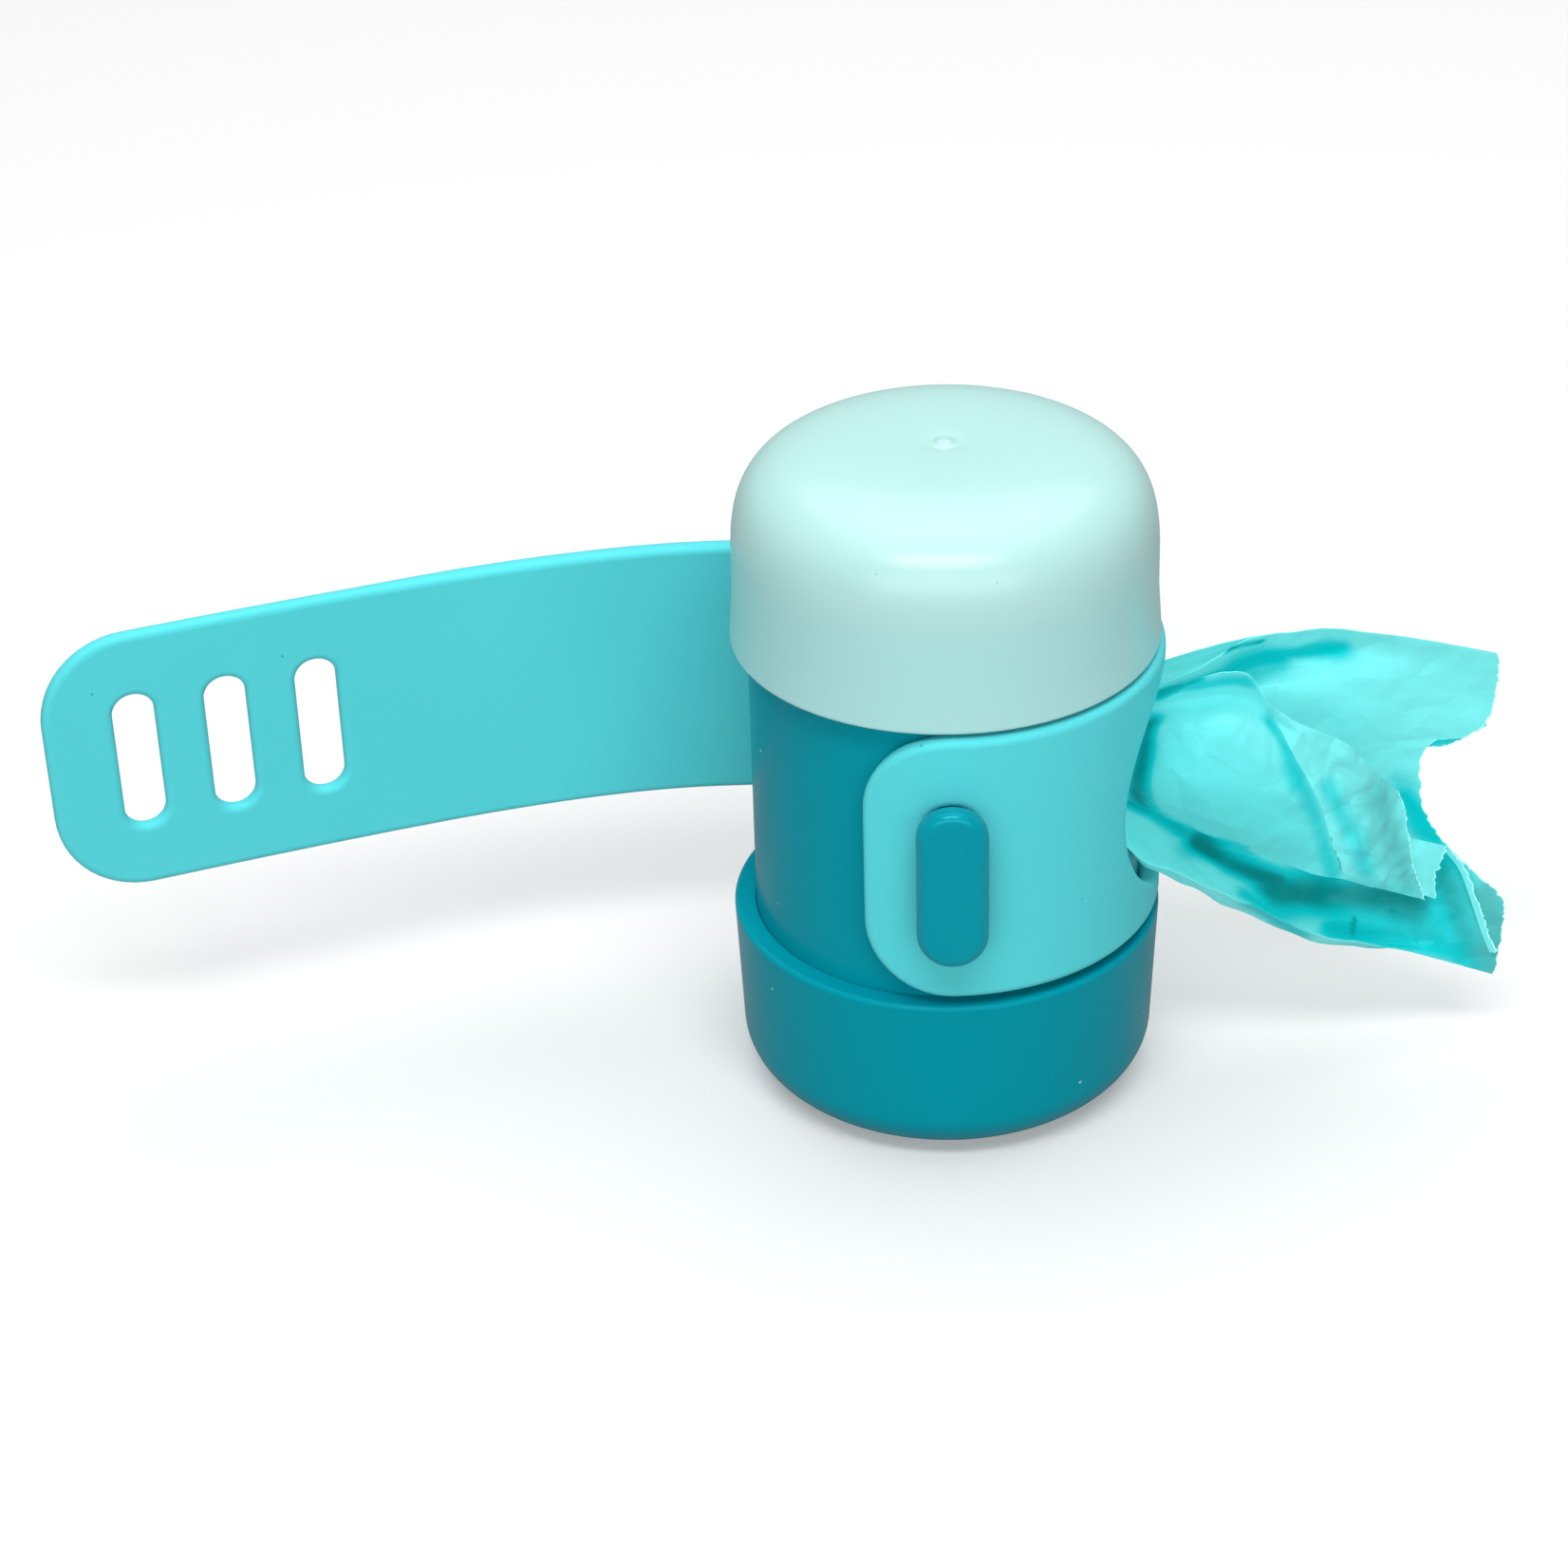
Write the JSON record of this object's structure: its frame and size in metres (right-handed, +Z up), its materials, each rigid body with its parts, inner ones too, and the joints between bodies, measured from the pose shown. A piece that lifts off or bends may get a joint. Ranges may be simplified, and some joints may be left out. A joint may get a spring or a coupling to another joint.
{
  "type": "dog poop bag dispenser",
  "caption": "Round pocket dispenser for a roll of dog waste bags, with a lift-off domed cap, a side outlet and a slotted silicone strap that buttons over a stud.",
  "frame": {"origin": "middle of the base cup's flat foot, on the case axis", "axes": "+Z up the case axis towards the cap; +X out of the bag outlet; -Y towards the strap stud; the strap's tail runs towards -X"},
  "size_m": [0.1539, 0.0487, 0.073],
  "materials": {
    "case_teal": "glossy moulded plastic, dark teal",
    "cap_mint": "satin milky plastic, pale mint",
    "strap_silicone": "soft satin silicone, aqua",
    "bag_film": "thin crumpled polyethylene film, turquoise",
    "core_paper": "plain kraft paper tube"
  },
  "bodies": {
    "case": {"base_cup": "case_teal", "body_tube": "case_teal", "strap_stud": "case_teal", "strap_band": "strap_silicone", "bag_lead": "bag_film"},
    "cap": {"top_cap": "cap_mint"},
    "roll": {"roll_core": "core_paper", "bag_roll": "bag_film"},
    "bag": {"bag_tail": "bag_film"},
    "tail_1": {"strap_tail_1": "strap_silicone"},
    "tail_2": {"strap_tail_2": "strap_silicone"},
    "tail_3": {"strap_tail_3": "strap_silicone"},
    "tail_4": {"strap_tail_4": "strap_silicone"},
    "tail_5": {"strap_end": "strap_silicone"}
  },
  "joints": [
    {"name": "cap_lift", "type": "slide", "parent": "case", "child": "cap", "axis": [0, 0, 1], "range_m": [0, 0.025]},
    {"name": "roll_spin", "type": "hinge", "parent": "case", "child": "roll", "pos_m": [0, 0, 0.0321], "axis": [0, 0, 1], "range_deg": [0, 69]},
    {"name": "bag_pull", "type": "slide", "parent": "case", "child": "bag", "axis": [1, 0, 0], "range_m": [0, 0.02]},
    {"name": "strap_curl", "type": "hinge", "parent": "case", "child": "tail_1", "pos_m": [-0.0148, 0.02025, 0.0363], "axis": [0, 0, 1], "range_deg": [-4, 29.8], "stiffness_Nm_per_rad": 0.0047},
    {"name": "strap_curl_2", "type": "hinge", "parent": "tail_1", "child": "tail_2", "pos_m": [-0.02909, 0.01975, 0.0363], "axis": [0, 0, 1], "range_deg": [-4, 29.8], "stiffness_Nm_per_rad": 0.0047},
    {"name": "strap_curl_3", "type": "hinge", "parent": "tail_2", "child": "tail_3", "pos_m": [-0.04322, 0.01751, 0.0363], "axis": [0, 0, 1], "range_deg": [-4, 29.8], "stiffness_Nm_per_rad": 0.0047},
    {"name": "strap_curl_4", "type": "hinge", "parent": "tail_3", "child": "tail_4", "pos_m": [-0.05703, 0.01381, 0.0363], "axis": [0, 0, 1], "range_deg": [-4, 29.8], "stiffness_Nm_per_rad": 0.0047},
    {"name": "strap_curl_5", "type": "hinge", "parent": "tail_4", "child": "tail_5", "pos_m": [-0.07063, 0.00939, 0.0363], "axis": [0, 0, 1], "range_deg": [-4, 29.8], "stiffness_Nm_per_rad": 0.0047}
  ],
  "couplings": [
    {"joint": "bag_pull", "follows": "roll_spin", "m_per_rad": 0.0165},
    {"joint": "strap_curl_2", "follows": "strap_curl", "ratio": 1},
    {"joint": "strap_curl_3", "follows": "strap_curl", "ratio": 1},
    {"joint": "strap_curl_4", "follows": "strap_curl", "ratio": 1},
    {"joint": "strap_curl_5", "follows": "strap_curl", "ratio": 1}
  ]
}
